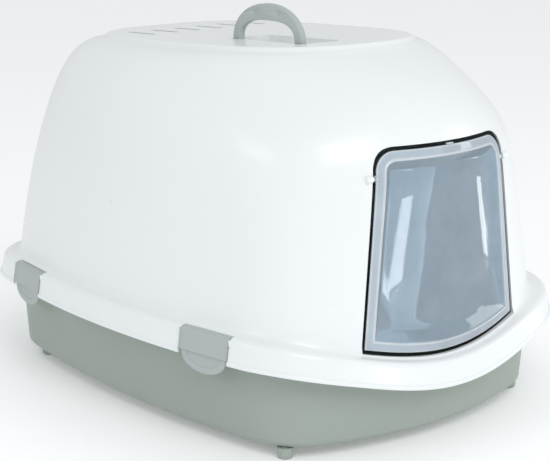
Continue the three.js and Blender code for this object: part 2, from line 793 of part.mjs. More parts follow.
// ---------------------------------------------------------------- odour filter

const FILTER = { halfWidth: 108, halfLength: 40, thickness: 6 };
const FILTER_Y = SLOT_Y - PLATFORM_MIDDLE;

function makeFilterMat() {
  const top = -WALL - 0.8;
  const { halfWidth, halfLength, thickness } = FILTER;
  return box(-halfWidth, halfWidth, FILTER_Y - halfLength, FILTER_Y + halfLength, top - thickness, top);
}

function makeFilterHolder() {
  const { halfWidth, halfLength, thickness } = FILTER;
  const [top, wall, clearance] = [-WALL - 0.4, 2, 0.6];
  const floor = -WALL - 0.8 - thickness - clearance;
  const [x, y] = [halfWidth + clearance, halfLength + clearance];
  let holder = toSolid(box(-x - wall, x + wall, FILTER_Y - y - wall, FILTER_Y + y + wall, floor - wall, top));
  holder = holder.subtract(toSolid(box(-x, x, FILTER_Y - y, FILTER_Y + y, floor, top + 5)));
  samples(SLOT_COUNT - 1, -0.5, 0.5).forEach(share => {
    const centre = share * SLOT_PITCH * (SLOT_COUNT - 1);
    holder = holder.subtract(toSolid(box(centre - 11, centre + 11,
      FILTER_Y - 30, FILTER_Y + 30, floor - wall - 3, floor + 3)));
  });
  return toGeometry(holder);
}

addPart('filter_mat', makeFilterMat(), 'carbon', onTop);
addPart('filter_holder', makeFilterHolder(), 'white', onTop);

// ---------------------------------------------------------------- clips

const TAB_DROP = 24;          // finger tab below the step
const STEP_Z = SKIRT_BOTTOM + 6;
const HOOK_ANGLE = 0.47;       // where the hook's upper face leaves the barrel, below the level
const SKIRT_LEAN = 4.5;       // the skirt's face leans in by this much towards the flange

// End view of a clip, with u outwards from the skirt's lower edge and v up.
function clipSection() {
  const face = v => -SKIRT_LEAN * (v - SKIRT_BOTTOM) / (FLANGE_TOP - 6 - SKIRT_BOTTOM);
  const shape = new THREE.Shape();
  const [u, v] = [-CLIP_PIVOT_INSET, CLIP_PIVOT_Z];
  shape.moveTo(u, v + CLIP_BARREL);
  shape.lineTo(-7.5, FLANGE_TOP - 1);
  shape.lineTo(face(FLANGE_TOP - 6), FLANGE_TOP - 6);
  shape.lineTo(face(STEP_Z), STEP_Z);
  shape.lineTo(face(STEP_Z) - 2.5, STEP_Z);
  shape.lineTo(face(STEP_Z) - 2.5, STEP_Z + 3);
  shape.lineTo(face(FLANGE_TOP - 14) - 2.4, FLANGE_TOP - 14);
  shape.lineTo(u + 2.2, v - CLIP_BARREL);
  shape.lineTo(-19, v - 4);
  shape.lineTo(-19, v - CLIP_BARREL * Math.sin(HOOK_ANGLE));
  shape.absarc(u, v, CLIP_BARREL, Math.PI + HOOK_ANGLE, Math.PI / 2, true);
  return shape;
}

// Front view of the finger tab: a half ellipse under the step.
function tabShape() {
  const half = CLIP_WIDTH / 2 - 3;
  const points = samples(12, 0, Math.PI).map(angle => new THREE.Vector2(
    half * Math.cos(angle), STEP_Z + 0.5 - (TAB_DROP + 0.5) * Math.sin(angle) ** 0.8));
  points.unshift(new THREE.Vector2(half, STEP_Z + 2));
  points.push(new THREE.Vector2(-half, STEP_Z + 2));
  return new THREE.Shape(points);
}

function makeClip() {
  const half = CLIP_WIDTH / 2;
  let clip = toSolid(slab(new THREE.Shape(clipSection().getPoints(6)), -half, half, 'xzy'));
  clip = clip.add(toSolid(slab(tabShape(), -5.5, -2.8, 'yzx')));
  clip = clip.subtract(toSolid(rod(CLIP_PIN_RADIUS + 0.3, [-CLIP_PIVOT_INSET, -half - 1, CLIP_PIVOT_Z],
    [-CLIP_PIVOT_INSET, half + 1, CLIP_PIVOT_Z], 14)));
  return toGeometry(clip);
}

for (const { name, side, y } of CLIPS) {
  const holder = clipGroup(side, y);
  group.add(holder);
  addPart(`clip_${name}`, makeClip(), 'sage', holder);
  const reach = CLIP_WIDTH / 2 + 1 + CHEEK - 1.2;
  addPart(`clip_pin_${name}`, rod(CLIP_PIN_RADIUS, [-CLIP_PIVOT_INSET, -reach, CLIP_PIVOT_Z],
    [-CLIP_PIVOT_INSET, reach, CLIP_PIVOT_Z], 12), 'white', holder);
}

export default group;
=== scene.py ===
# Hooded cat litter box: the fine surfaces, materials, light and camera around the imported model.
# Lengths are millimetres until a mesh is made. +Z up, the door faces -Y.
import math

import bmesh
import bpy
import numpy as np
from mathutils import Matrix, Vector


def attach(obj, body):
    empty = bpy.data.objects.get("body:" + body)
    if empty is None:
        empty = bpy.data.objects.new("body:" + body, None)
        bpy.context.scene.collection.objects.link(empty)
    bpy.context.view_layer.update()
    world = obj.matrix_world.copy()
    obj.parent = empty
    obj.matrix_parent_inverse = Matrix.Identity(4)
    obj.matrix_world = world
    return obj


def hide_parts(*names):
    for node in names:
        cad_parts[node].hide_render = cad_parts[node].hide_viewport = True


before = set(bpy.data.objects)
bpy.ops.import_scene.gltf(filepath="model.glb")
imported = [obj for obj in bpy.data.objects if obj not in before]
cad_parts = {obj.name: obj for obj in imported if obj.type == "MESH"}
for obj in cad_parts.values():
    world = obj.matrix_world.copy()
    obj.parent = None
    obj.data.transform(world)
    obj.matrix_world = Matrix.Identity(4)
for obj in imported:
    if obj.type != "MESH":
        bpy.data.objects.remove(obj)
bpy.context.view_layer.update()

MM = 0.001

# ------------------------------------------------------------ dimensions, as in the solid model

HALF_LENGTH, HALF_WIDTH = 358, 278
SIDE_BOW, FRONT_BOW, REAR_BOW = 39, 48, 12
CORNER_CUT = 72
WALL = 2.6
WALL_INSET = 22
SIDE_LEAN, FRONT_LEAN, FRONT_CORNER_LEAN, REAR_LEAN = 34, 2, 37, 9
SKIRT_BOTTOM, FLANGE_TOP = 117, 150
ENTRY_DIP, DIP_REACH = 43, 284
TOP_FOOT, PLATFORM_RISE, TOP_SLOPE = 456, 6, 0.04
PLATFORM_HALF_WIDTH, PLATFORM_FRONT, PLATFORM_REAR = 148, -200, 258
PLATFORM_SIDE_BOW, PLATFORM_FRONT_BOW, PLATFORM_CORNER = 16, 40, 92
PLATFORM_MIDDLE = (PLATFORM_FRONT + PLATFORM_REAR) / 2
TRAY_FLOOR, FOOT_RADIUS = 14, 10
SILL_HALF_WIDTH, SILL_ABOVE_FLANGE = 131, 3
DOOR_TOP, DOOR_TOP_HALF_WIDTH, DOOR_CORNER, DOOR_GAP = 368, 106, 28, 5
HINGE_HEIGHT = 333
KNUCKLE_RADIUS, PIN_RADIUS, KNUCKLE_LENGTH = 4.2, 2.4, 9
HANDLE_X, HANDLE_Y, HANDLE_HALF_SPAN, HANDLE_RISE = -66, -74, 67, 47
HANDLE_THICKNESS, HANDLE_PIVOT_DEPTH, LEG_WIDTH, GRIP = 9, 5.5, 14, 21
HANDLE_PIN_RADIUS = 2.6
SLOT_COUNT, SLOT_PITCH, SLOT_LENGTH, SLOT_WIDTH, SLOT_Y = 6, 38, 62, 8, 160
CLIP_WIDTH = 78
CLIP_YS = {"front": -184, "rear": 203}
CLIP_PIVOT_INSET, CLIP_PIVOT_Z, CLIP_BARREL, CLIP_PIN_RADIUS, CHEEK = 10.5, 145.6, 4.2, 1.6, 3
RIM_TOP = FLANGE_TOP - WALL - 0.4
LIP_INSET = 10.5

# ------------------------------------------------------------ meshes


def new_object(name, verts, faces):
    mesh = bpy.data.meshes.new(name)
    mesh.from_pydata([tuple(v) for v in np.asarray(verts, float) * MM], [], faces)
    mesh.update()
    obj = bpy.data.objects.new(name, mesh)
    bpy.context.scene.collection.objects.link(obj)
    work = bmesh.new()
    work.from_mesh(mesh)
    bmesh.ops.recalc_face_normals(work, faces=work.faces)
    work.to_mesh(mesh)
    work.free()
    return obj


def bake_modifiers(obj):
    depsgraph = bpy.context.evaluated_depsgraph_get()
    depsgraph.update()
    mesh = bpy.data.meshes.new_from_object(obj.evaluated_get(depsgraph))
    old = obj.data
    obj.modifiers.clear()
    obj.data = mesh
    bpy.data.meshes.remove(old)
    return obj


def joined(objects):
    """One object that holds the meshes of several."""
    first = objects[0]
    work = bmesh.new()
    for obj in objects:
        work.from_mesh(obj.data)
    work.to_mesh(first.data)
    work.free()
    for obj in objects[1:]:
        bpy.data.objects.remove(obj)
    return first


def boolean(target, operation, tools):
    tool = joined(tools) if len(tools) > 1 else tools[0]
    step = target.modifiers.new("cut", "BOOLEAN")
    step.operation = operation
    step.solver = "EXACT"
    step.object = tool
    bake_modifiers(target)
    bpy.data.objects.remove(tool)
    return target


def rounded(obj, width, segments=3, angle=40):
    """Rounds an object's sharp edges by a bevel of a width in millimetres."""
    bevel = obj.modifiers.new("edge", "BEVEL")
    bevel.width = width * MM
    bevel.segments = segments
    bevel.limit_method = "ANGLE"
    bevel.angle_limit = math.radians(angle)
    bevel.harden_normals = False
    return bake_modifiers(obj)


def smooth_shade(obj, angle=32):
    for poly in obj.data.polygons:
        poly.use_smooth = True
    obj.data.set_sharp_from_angle(angle=math.radians(angle))
    return obj


def loft(name, rings):
    """Rings of equal length joined into a closed body, each end closed by one flat face."""
    count = len(rings[0])
    verts = np.concatenate(rings)
    faces = []
    for r in range(len(rings) - 1):
        for i in range(count):
            j = (i + 1) % count
            faces.append((r * count + i, r * count + j, (r + 1) * count + j, (r + 1) * count + i))
    faces.append(tuple(range(count))[::-1])
    last = (len(rings) - 1) * count
    faces.append(tuple(range(last, last + count)))
    return new_object(name, verts, faces)


def prism(name, outline, low, high, place):
    """An outline in (u, v) extruded along w; place turns (u, v, w) into a point."""
    count = len(outline)
    verts = [place(u, v, w) for w in (low, high) for u, v in outline]
    faces = [tuple(range(count)), tuple(range(count, 2 * count))[::-1]]
    for i in range(count):
        j = (i + 1) % count
        faces.append((i, count + i, count + j, j))
    return new_object(name, verts, faces)


def block(name, low, high):
    (x0, y0, z0), (x1, y1, z1) = low, high
    outline = [(x0, y0), (x1, y0), (x1, y1), (x0, y1)]
    return prism(name, outline, z0, z1, lambda u, v, w: (u, v, w))


def rod(name, radius, start, end, sides=32, nose=0.0):
    """A round bar; nose rounds off its two ends."""
    start, end = Vector(start), Vector(end)
    along = (end - start).normalized()
    across = along.orthogonal().normalized()
    other = along.cross(across)
    length = (end - start).length
    stations = [(0, radius), (length, radius)]
    if nose:
        stations = [(0, radius - nose), (nose * 0.3, radius - nose * 0.3), (nose, radius),
                    (length - nose, radius), (length - nose * 0.3, radius - nose * 0.3),
                    (length, radius - nose)]
    rings = []
    for run, size in stations:
        ring = []
        for k in range(sides):
            a = 2 * math.pi * k / sides
            ring.append(start + along * run + (across * math.cos(a) + other * math.sin(a)) * size)
        rings.append(np.array([tuple(p) for p in ring]))
    return loft(name, rings)


def lathe(name, profile, centre, sides=64):
    """Turns a profile of (radius, height) about a vertical line."""
    rings = []
    for radius, height in profile:
        angles = np.linspace(0, 2 * math.pi, sides, endpoint=False)
        rings.append(np.stack([centre[0] + radius * np.cos(angles), centre[1] + radius * np.sin(angles),
                               np.full(sides, centre[2] + height)], axis=1))
    return loft(name, rings)


def moved(obj, matrix):
    obj.data.transform(matrix)
    if matrix.determinant() < 0:
        obj.data.flip_normals()
    return obj


# ------------------------------------------------------------ plan outline

REAR_STEPS, CORNER_STEPS, SIDE_STEPS, FRONT_STEPS = 10, 16, 26, 26


def half_outline(s):
    corner_x = s["half_width"] - s["side_bow"]
    corner_rear = s["rear"] - s["rear_bow"]
    corner_front = s["front"] + s["front_bow"]
    length = corner_rear - corner_front

    def on_rear(u):
        return np.array([corner_x * u, corner_rear + s["rear_bow"] * (1 - u * u)])

    def on_side(u):
        return np.array([corner_x + 4 * s["side_bow"] * u * (1 - u), corner_rear - length * u])

    def on_front(u):
        return np.array([corner_x * u, corner_front - s["front_bow"] * (1 - u * u)])

    cut_x = 1 - s["cut"] / corner_x
    cut_y = s["cut"] / length
    points = [on_rear(u) for u in np.linspace(0, cut_x, REAR_STEPS + 1)]
    points += corner(on_rear, cut_x, 1, on_side, cut_y, 1)
    points += [on_side(u) for u in np.linspace(cut_y, 1 - cut_y, SIDE_STEPS + 1)]
    points += corner(on_side, 1 - cut_y, 1, on_front, cut_x, -1)
    points += [on_front(u) for u in np.linspace(cut_x, 0, FRONT_STEPS + 1)]
    return np.array(points)


def corner(curve_a, u_a, sign_a, curve_b, u_b, sign_b):
    def tangent(curve, u, sign):
        d = curve(u + 1e-3) - curve(u - 1e-3)
        return d / np.linalg.norm(d) * sign

    start, end = curve_a(u_a), curve_b(u_b)
    reach = np.linalg.norm(end - start) * 0.39
    inner = [start + tangent(curve_a, u_a, sign_a) * reach, end - tangent(curve_b, u_b, sign_b) * reach]
    points = []
    for t in np.linspace(0, 1, CORNER_STEPS + 1)[1:-1]:
        points.append((1 - t) ** 3 * start + 3 * (1 - t) ** 2 * t * inner[0]
                      + 3 * (1 - t) * t * t * inner[1] + t ** 3 * end)
    return points


def full_outline(sizes):
    half = half_outline(sizes)
    return np.concatenate([half, half[1:-1][::-1] * [-1, 1]])


def dip_at(run):
    run = np.abs(np.asarray(run, float))
    swing = np.cos(math.pi / 2 * np.minimum(run / DIP_REACH, 1))
    return np.where(run >= DIP_REACH, 0, ENTRY_DIP * swing ** 2)


def dips(outline):
    """How far the rim has dropped at each point of an outline."""
    count = len(outline)
    front = int(np.argmin(outline[:, 1]))
    away = np.full(count, 1e9)
    for direction in (1, -1):
        run = 0.0
        away[front] = 0.0
        for i in range(1, count // 2 + 1):
            here, before = (front + direction * i) % count, (front + direction * (i - 1)) % count
            run += np.linalg.norm(outline[here] - outline[before])
            away[here] = min(away[here], run)
    return dip_at(away)


def front_dip(x):
    return float(dip_at(abs(x) * 1.02))


def skirt_sizes(inset):
    return {"half_width": HALF_WIDTH - inset, "front": -HALF_LENGTH + inset, "rear": HALF_LENGTH - inset,
            "side_bow": SIDE_BOW, "front_bow": FRONT_BOW, "rear_bow": REAR_BOW, "cut": CORNER_CUT}


def with_height(outline, height):
    return np.column_stack([outline, np.broadcast_to(height, len(outline))])


def rim_ring(inset, height):
    outline = full_outline(skirt_sizes(inset))
    return with_height(outline, height - dips(outline))


# ------------------------------------------------------------ hood


def shoulder(f):
    return 1 - (1 - f ** 2.6) ** (1 / 2.6)


def smooth(f, low, high):
    t = min(max((f - low) / (high - low), 0), 1)
    return t * t * (3 - 2 * t)


def top_height(y):
    return TOP_FOOT - TOP_SLOPE * (y - PLATFORM_MIDDLE)


def wall_sizes(f, thickness=0.0):
    def blend(foot, lean, top, share):
        return foot + lean * f + (top - foot - lean) * share

    side_top = HALF_WIDTH - PLATFORM_HALF_WIDTH
    front_top = HALF_LENGTH + PLATFORM_FRONT
    turn = shoulder(f)
    side = blend(WALL_INSET, SIDE_LEAN, side_top, turn ** 1.2)
    side_corner = blend(WALL_INSET + SIDE_BOW, SIDE_LEAN, side_top + PLATFORM_SIDE_BOW, turn ** 0.82)
    front = blend(WALL_INSET, FRONT_LEAN, front_top, (max(f - 0.5, 0) / 0.5) ** 3.15)
    front_corner = blend(WALL_INSET + FRONT_BOW, FRONT_CORNER_LEAN, front_top + PLATFORM_FRONT_BOW,
                         smooth(f, 0.6, 1) ** 1.2)
    rear = blend(WALL_INSET, REAR_LEAN, HALF_LENGTH - PLATFORM_REAR, turn ** 0.78)
    return {"half_width": HALF_WIDTH - side - thickness, "front": -HALF_LENGTH + front + thickness,
            "rear": HALF_LENGTH - rear - thickness, "side_bow": side_corner - side,
            "front_bow": front_corner - front, "rear_bow": REAR_BOW,
            "cut": CORNER_CUT + (PLATFORM_CORNER - CORNER_CUT) * f}


FOOT_DROP = dips(full_outline(skirt_sizes(WALL_INSET)))


def wall_ring(f, thickness=0.0):
    outline = full_outline(wall_sizes(f, thickness))
    low = FLANGE_TOP - FOOT_DROP
    height = low + f * (top_height(outline[:, 1]) - low) - thickness * smooth(f, 0.75, 1)
    return with_height(outline, height)


def platform_ring(inset, rise):
    outline = full_outline(wall_sizes(1, inset))
    return with_height(outline, top_height(outline[:, 1]) + rise)


def front_wall_y(x, z):
    low = FLANGE_TOP - front_dip(x)
    f = min(max((z - low) / (top_height(-HALF_LENGTH) - low), 0), 0.98)
    s = wall_sizes(f)
    return s["front"] + s["front_bow"] * (x / (s["half_width"] - s["side_bow"])) ** 2


def door_half_width(z):
    low = FLANGE_TOP + SILL_ABOVE_FLANGE - front_dip(SILL_HALF_WIDTH)
    return SILL_HALF_WIDTH + (DOOR_TOP_HALF_WIDTH - SILL_HALF_WIDTH) * (z - low) / (DOOR_TOP - low)


def sill_height(x):
    return FLANGE_TOP + SILL_ABOVE_FLANGE - front_dip(x)


HINGE_X = door_half_width(HINGE_HEIGHT)
HINGE_Y = front_wall_y(HINGE_X, HINGE_HEIGHT) + WALL / 2


def door_outline():
    top, radius = DOOR_TOP, DOOR_CORNER
    top_half = door_half_width(top)
    points = [(x, sill_height(x)) for x in np.linspace(-SILL_HALF_WIDTH, SILL_HALF_WIDTH, 61)]
    right = []
    start = np.array([door_half_width(top - radius), top - radius])
    bend = np.array([top_half, top])
    end = np.array([top_half - radius, top])
    for t in np.linspace(0, 1, 17):
        right.append(tuple((1 - t) ** 2 * start + 2 * t * (1 - t) * bend + t * t * end))
    return points + right + [(-x, z) for x, z in right[::-1]]


def platform_matrix():
    turn = Matrix.Rotation(-math.atan(TOP_SLOPE), 4, "X")
    return Matrix.Translation(Vector((0, PLATFORM_MIDDLE, TOP_FOOT + PLATFORM_RISE)) * MM) @ turn


def clip_place(side, y):
    low, high = -HALF_LENGTH + FRONT_BOW, HALF_LENGTH - REAR_BOW
    u = (high - y) / (high - low)
    x = HALF_WIDTH - SIDE_BOW + 4 * SIDE_BOW * u * (1 - u)
    slope = -4 * SIDE_BOW * (1 - 2 * u) / (high - low)
    turn = -math.atan(slope) if side > 0 else math.pi + math.atan(slope)
    return Matrix.Translation(Vector((side * x, y, 0)) * MM) @ Matrix.Rotation(turn, 4, "Z")


CLIPS = [(f"{end}_{label}", side, y) for end, y in CLIP_YS.items()
         for label, side in (("left", -1), ("right", 1))]
HANDLE_MIDDLE = HANDLE_Y - PLATFORM_MIDDLE
POCKET_X = (HANDLE_X - 6.5, HANDLE_X + HANDLE_RISE + HANDLE_PIVOT_DEPTH + 5)
POCKET_Y = (HANDLE_MIDDLE - HANDLE_HALF_SPAN - 2.5, HANDLE_MIDDLE + HANDLE_HALF_SPAN + 2.5)
POCKET_DEPTH = HANDLE_PIVOT_DEPTH + HANDLE_THICKNESS / 2 + 1.5


def round_rectangle(low, high, radius, steps=8):
    (x0, y0), (x1, y1) = low, high
    points = []
    for cx, cy, start in ((x1 - radius, y0 + radius, -90), (x1 - radius, y1 - radius, 0),
                          (x0 + radius, y1 - radius, 90), (x0 + radius, y0 + radius, 180)):
        for k in range(steps + 1):
            a = math.radians(start + 90 * k / steps)
            points.append((cx + radius * math.cos(a), cy + radius * math.sin(a)))
    return points


def upright(u, v, w):
    return (u, v, w)


def handle_hinge(name, radius, start, end, nose=0.0):
    rods = []
    for side in (-1, 1):
        a = (HANDLE_X, HANDLE_MIDDLE + side * (HANDLE_HALF_SPAN + start), -HANDLE_PIVOT_DEPTH)
        b = (HANDLE_X, HANDLE_MIDDLE + side * (HANDLE_HALF_SPAN + end), -HANDLE_PIVOT_DEPTH)
        rods.append(moved(rod(name, radius, a, b, nose=nose), platform_matrix()))
    return rods


def slot_outline():
    straight = (SLOT_LENGTH - SLOT_WIDTH) / 2
    points = []
    for sign, start in ((1, 0), (-1, 180)):
        for k in range(13):
            a = math.radians(start + 180 * k / 12)
            points.append((SLOT_WIDTH / 2 * math.cos(a), sign * straight + SLOT_WIDTH / 2 * math.sin(a)))
    return points


def hood_rings():
    levels = [0.995, 0.985, 0.97, 0.955, 0.94, 0.92, 0.9, 0.88, 0.86, 0.84, 0.82, 0.8, 0.78, 0.76, 0.74,
              0.72, 0.7, 0.675, 0.65, 0.62, 0.59, 0.56, 0.52, 0.48, 0.44, 0.4, 0.35, 0.3, 0.25, 0.2,
              0.15, 0.11, 0.08, 0.055, 0.035]
    outside = [platform_ring(*p) for p in (
        (9, PLATFORM_RISE), (5.6, PLATFORM_RISE), (4.6, 5.9), (3.8, 5.5), (3.1, 4.8), (0.9, 2.3),
        (0.2, 1.5), (-0.5, 0.8), (-1.4, 0.2), (-2.6, -0.3))]
    outside += [wall_ring(f) for f in levels]
    outside += [rim_ring(*p) for p in (
        (21.4, FLANGE_TOP + 7), (20.9, FLANGE_TOP + 5), (20.0, FLANGE_TOP + 3.2), (18.6, FLANGE_TOP + 1.8),
        (16.6, FLANGE_TOP + 0.8), (14, FLANGE_TOP + 0.25), (11.5, FLANGE_TOP - 0.1),
        (9.4, FLANGE_TOP - 0.6), (7.6, FLANGE_TOP - 1.6), (6.2, FLANGE_TOP - 3.1),
        (5.3, FLANGE_TOP - 5), (4.8, FLANGE_TOP - 7.5), (3.6, FLANGE_TOP - 15),
        (2.2, SKIRT_BOTTOM + 8.4), (1.95, SKIRT_BOTTOM + 6.6), (1.7, SKIRT_BOTTOM + 5.9),
        (0.9, SKIRT_BOTTOM + 5.3), (0.35, SKIRT_BOTTOM + 4.4), (0.1, SKIRT_BOTTOM + 3),
        (0.05, SKIRT_BOTTOM + 1.4), (0.35, SKIRT_BOTTOM + 0.45), (1.0, SKIRT_BOTTOM))]
    inside = [rim_ring(*p) for p in (
        (WALL, SKIRT_BOTTOM), (4.5 + WALL, FLANGE_TOP - 6.5), (8, FLANGE_TOP - 3.6),
        (9.5, FLANGE_TOP - WALL - 0.2), (WALL_INSET + WALL, FLANGE_TOP - WALL))]
    inside += [wall_ring(f, WALL) for f in levels[::-1]]
    inside += [platform_ring(WALL, -WALL), platform_ring(WALL + 1.5, PLATFORM_RISE - WALL),
               platform_ring(WALL + 6, PLATFORM_RISE - WALL)]
    return outside + inside


def make_hood():
    hood = loft("hood_shell", hood_rings())
    on_top = platform_matrix()
    grown = [(POCKET_X[0] - WALL, POCKET_Y[0] - WALL), (POCKET_X[1] + WALL, POCKET_Y[1] + WALL)]
    case = prism("case", round_rectangle(*grown, 6), -POCKET_DEPTH - WALL, -1.5, upright)
    boolean(hood, "UNION", [moved(case, on_top)])
    boolean(hood, "UNION", handle_hinge("boss", 5, 3, 11))

    cutters = [prism("door", door_outline(), -HALF_LENGTH - 20, -190, lambda u, v, w: (u, w, v))]
    for k in range(SLOT_COUNT):
        x = (k - (SLOT_COUNT - 1) / 2) * SLOT_PITCH
        slot = prism("slot", [(x + u, SLOT_Y - PLATFORM_MIDDLE + v) for u, v in slot_outline()],
                     -20, 10, upright)
        cutters.append(moved(slot, on_top))
    half = CLIP_WIDTH / 2 + 1
    for _, side, y in CLIPS:
        notch = block("notch", (-CLIP_PIVOT_INSET - CLIP_BARREL - 0.7, -half, SKIRT_BOTTOM - 10),
                      (20, half, FLANGE_TOP + 4))
        cutters.append(moved(notch, clip_place(side, y)))
    boolean(hood, "DIFFERENCE", cutters)
    pocket = prism("pocket", round_rectangle((POCKET_X[0], POCKET_Y[0]), (POCKET_X[1], POCKET_Y[1]), 4),
                   -POCKET_DEPTH, 5, upright)
    inner = HANDLE_HALF_SPAN - LEG_WIDTH - 3
    ledge = block("ledge", (POCKET_X[0] - 1, HANDLE_MIDDLE - inner, -POCKET_DEPTH - 1),
                  (POCKET_X[0] + 4, HANDLE_MIDDLE + inner, -0.2))
    boolean(pocket, "DIFFERENCE", [ledge])
    boolean(hood, "DIFFERENCE", [moved(pocket, on_top)])
    boolean(hood, "DIFFERENCE", handle_hinge("bore", HANDLE_PIN_RADIUS + 0.35, 1, 9.5))

    knuckles, cheeks, bores = [], [], []
    for side in (-1, 1):
        knuckles.append(rod("knuckle", KNUCKLE_RADIUS, (side * (HINGE_X - 0.4), HINGE_Y, HINGE_HEIGHT),
                            (side * (HINGE_X + KNUCKLE_LENGTH), HINGE_Y, HINGE_HEIGHT), nose=0.8))
        bores.append(rod("bore", PIN_RADIUS + 0.35, (side * (HINGE_X - 3), HINGE_Y, HINGE_HEIGHT),
                         (side * (HINGE_X + KNUCKLE_LENGTH - 1.5), HINGE_Y, HINGE_HEIGHT)))
    for _, side, y in CLIPS:
        place = clip_place(side, y)
        for end in (-1, 1):
            near, far = sorted((end * half, end * (half + CHEEK)))
            cheek = block("cheek", (-15.5, near, CLIP_PIVOT_Z - 5), (-4.5, far, FLANGE_TOP - 2.2))
            cheeks.append(moved(cheek, place))
        reach = half + CHEEK - 0.8
        bores.append(moved(rod("bore", CLIP_PIN_RADIUS + 0.35, (-CLIP_PIVOT_INSET, -reach, CLIP_PIVOT_Z),
                               (-CLIP_PIVOT_INSET, reach, CLIP_PIVOT_Z)), place))
    boolean(hood, "UNION", knuckles)
    boolean(hood, "UNION", cheeks)
    boolean(hood, "DIFFERENCE", bores)
    return smooth_shade(hood, 30)


# ------------------------------------------------------------ tray and feet


def tray_sizes(share):
    top = skirt_sizes(WALL_INSET)
    bottom = {"half_width": 241, "front": -322, "rear": 316, "side_bow": 29, "front_bow": 48,
              "rear_bow": 10, "cut": 46}
    return {key: bottom[key] + (top[key] - bottom[key]) * share for key in top}


def tray_ring(t, thickness=0.0):
    turn = 7 * (1 - min(t / 0.08, 1)) ** 2
    sizes = tray_sizes(t)
    sizes["half_width"] -= thickness + turn
    sizes["front"] += thickness + turn
    sizes["rear"] -= thickness + turn
    top = RIM_TOP - WALL - FOOT_DROP
    return with_height(full_outline(sizes), TRAY_FLOOR + thickness * (1 - t) + t * (top - TRAY_FLOOR))


FEET = [(f"{end}_{label}", side * 196, y) for end, y in (("front", -258), ("rear", 258))
        for label, side in (("left", -1), ("right", 1))]


def make_tray():
    levels = [0, 0.006, 0.014, 0.024, 0.036, 0.05, 0.065, 0.08, 0.15, 0.3, 0.45, 0.6, 0.75, 0.9, 1]
    rings = [tray_ring(t) for t in levels]
    rings += [rim_ring(*p) for p in (
        (LIP_INSET + 0.7, RIM_TOP - WALL), (LIP_INSET + 0.2, RIM_TOP - WALL + 0.3),
        (LIP_INSET, RIM_TOP - WALL + 0.9), (LIP_INSET, RIM_TOP - 0.8), (LIP_INSET + 0.3, RIM_TOP - 0.25),
        (LIP_INSET + 1, RIM_TOP), (WALL_INSET + WALL - 1.5, RIM_TOP),
        (WALL_INSET + WALL - 0.4, RIM_TOP - 0.4), (WALL_INSET + WALL, RIM_TOP - 1.5))]
    rings += [tray_ring(t, WALL) for t in levels[::-1]]
    tray = loft("tray_shell", rings)
    half = CLIP_WIDTH / 2 + 1 + CHEEK + 1.5
    cutters = []
    for _, side, y in CLIPS:
        ledge = block("ledge", (-17.5, -half, RIM_TOP - 20), (10, half, RIM_TOP + 5))
        cutters.append(moved(ledge, clip_place(side, y)))
    for _, x, y in FEET:
        cutters.append(rod("socket", 4.3, (x, y, TRAY_FLOOR - 5), (x, y, TRAY_FLOOR + 1.6)))
    boolean(tray, "DIFFERENCE", cutters)
    return smooth_shade(tray, 34)


def make_foot(name, x, y):
    top = TRAY_FLOOR - 0.3
    r = FOOT_RADIUS
    profile = [(r - 3.2, 0), (r - 2.0, 0.05), (r - 1.2, 0.5), (r - 0.7, 1.1), (r - 0.35, 2), (r - 0.15, 3.2),
               (r - 0.05, 6), (r, top - 1), (r - 0.3, top - 0.2), (r - 0.8, top), (4.4, top), (4, top + 0.2),
               (4, top + 1.3), (3.7, top + 1.6), (2, top + 1.6)]
    return smooth_shade(lathe(name, profile, (x, y, 0)), 45)


# ------------------------------------------------------------ flap

FLAP_THICKNESS = 2
RIDGE = 10.4
EDGE_STEPS = [0, 0.35, 0.8, 2, 4.5, 7, 8.2, 8.9, 9.4, 9.8, 10.2, 10.6, 11, 11.5, 12.2, 13, 14, 15.2, 16.5,
              18, 19.5, 21, 22.5, 24, 26]


def soft_min(values, softness):
    low = np.min(values, axis=0)
    return low - softness * np.log(sum(np.exp(-(v - low) / softness) for v in values))


def flap_dish(side, top, low):
    """Depth of the pressed panel, from the distances to the flap's side, top and lower edges."""
    depth = 11.0
    corner = depth * (1 - 0.0208 * (-0.887 * (side - 24) - 0.464 * (low - 72)))
    planes = [np.full_like(side, depth), (side - RIDGE - 1.2) * depth / 12, (top - RIDGE - 1.2) * depth / 12,
              (low - RIDGE - 1.2) * depth / 17, corner]
    return np.maximum(soft_min(planes, 0.35), 0)


def flap_grid():
    top, radius = DOOR_TOP - DOOR_GAP, DOOR_CORNER - DOOR_GAP
    middle = np.linspace(-1, 1, 31)[1:-1]
    rows = len(EDGE_STEPS) * 2 + len(middle)
    grid = np.zeros((rows, rows, 3))
    reach = EDGE_STEPS[-1]
    for j in range(rows):
        for i in range(rows):
            x, z = 0.0, 200.0
            for _ in range(6):
                low = sill_height(x) + DOOR_GAP
                if j < len(EDGE_STEPS):
                    z = low + EDGE_STEPS[j]
                elif j >= rows - len(EDGE_STEPS):
                    z = top - EDGE_STEPS[rows - 1 - j]
                else:
                    share = (middle[j - len(EDGE_STEPS)] + 1) / 2
                    z = low + reach + share * (top - low - 2 * reach)
                over = min(max(z - (top - radius), 0) / radius, 1)
                half = door_half_width(z) - DOOR_GAP - radius * (1 - math.sqrt(1 - over * over))
                if i < len(EDGE_STEPS):
                    x = -half + EDGE_STEPS[i]
                elif i >= rows - len(EDGE_STEPS):
                    x = half - EDGE_STEPS[rows - 1 - i]
                else:
                    x = middle[i - len(EDGE_STEPS)] * (half - reach)
            grid[j, i] = (x, half, z)
    return grid, rows


